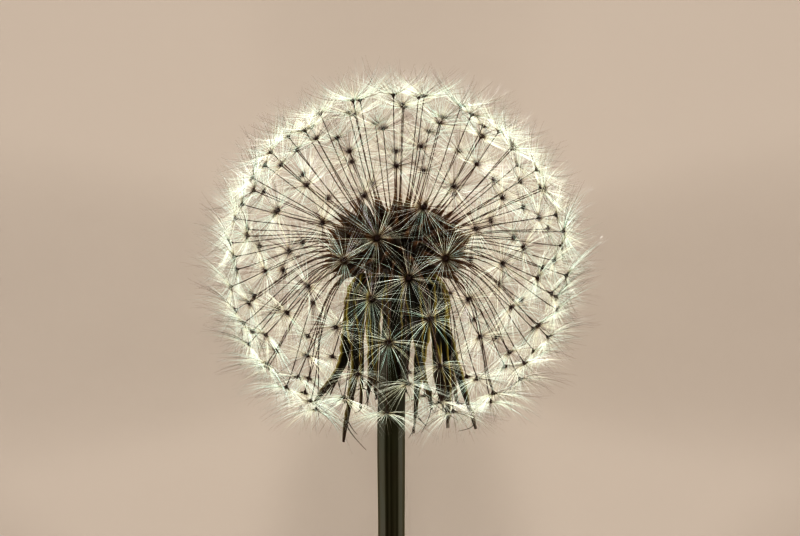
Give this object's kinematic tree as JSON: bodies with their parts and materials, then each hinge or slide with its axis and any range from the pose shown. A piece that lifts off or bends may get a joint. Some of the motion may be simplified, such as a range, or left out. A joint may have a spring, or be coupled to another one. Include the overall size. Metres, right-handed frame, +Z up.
{
  "type": "dandelion seed head",
  "caption": "Ripe dandelion clock on a short cut stem, lying on its side: a globe of parachute seeds on a domed receptacle, with dry bracts hanging round the top of the hollow stem.",
  "frame": {"origin": "middle of the bottom of the bounding box, on the surface that the flower lies on", "axes": "+Z up; the stem lies along -Y and leans down to the surface, with the globe of seeds at the +Y end"},
  "size_m": [0.0454, 0.0876, 0.0436],
  "materials": {
    "receptacle": "dry pithy dome, pale brown, with small pits where the seeds stand",
    "stem": "matte olive green to brown, faintly ribbed along its length",
    "bract": "dry and papery, dark olive with thin yellow-green margins and brown tips",
    "seed": "ribbed brown achene and thin brown beak, with a parachute of fine silky white hairs"
  },
  "bodies": {
    "root": {"receptacle": "receptacle", "stem": "stem", "bract_01": "bract", "bract_02": "bract", "bract_03": "bract", "bract_04": "bract", "bract_05": "bract", "bract_06": "bract", "bract_07": "bract", "bract_08": "bract", "bract_09": "bract", "bract_10": "bract", "bract_11": "bract", "bract_12": "bract", "bract_13": "bract", "bract_14": "bract", "bract_15": "bract", "bract_16": "bract", "bract_17": "bract", "seed_01": "seed", "seed_02": "seed", "seed_03": "seed", "seed_04": "seed", "seed_05": "seed", "seed_06": "seed", "seed_07": "seed", "seed_08": "seed", "seed_09": "seed", "seed_10": "seed", "seed_11": "seed", "seed_12": "seed", "seed_13": "seed", "seed_14": "seed", "seed_15": "seed", "seed_16": "seed", "seed_17": "seed", "seed_18": "seed", "seed_19": "seed", "seed_20": "seed", "seed_21": "seed", "seed_22": "seed", "seed_23": "seed", "seed_24": "seed", "seed_25": "seed", "seed_26": "seed", "seed_27": "seed", "seed_28": "seed", "seed_29": "seed", "seed_30": "seed", "seed_31": "seed", "seed_32": "seed", "seed_33": "seed", "seed_34": "seed", "seed_35": "seed", "seed_36": "seed", "seed_37": "seed", "seed_38": "seed", "seed_39": "seed", "seed_40": "seed"}
  },
  "joints": []
}
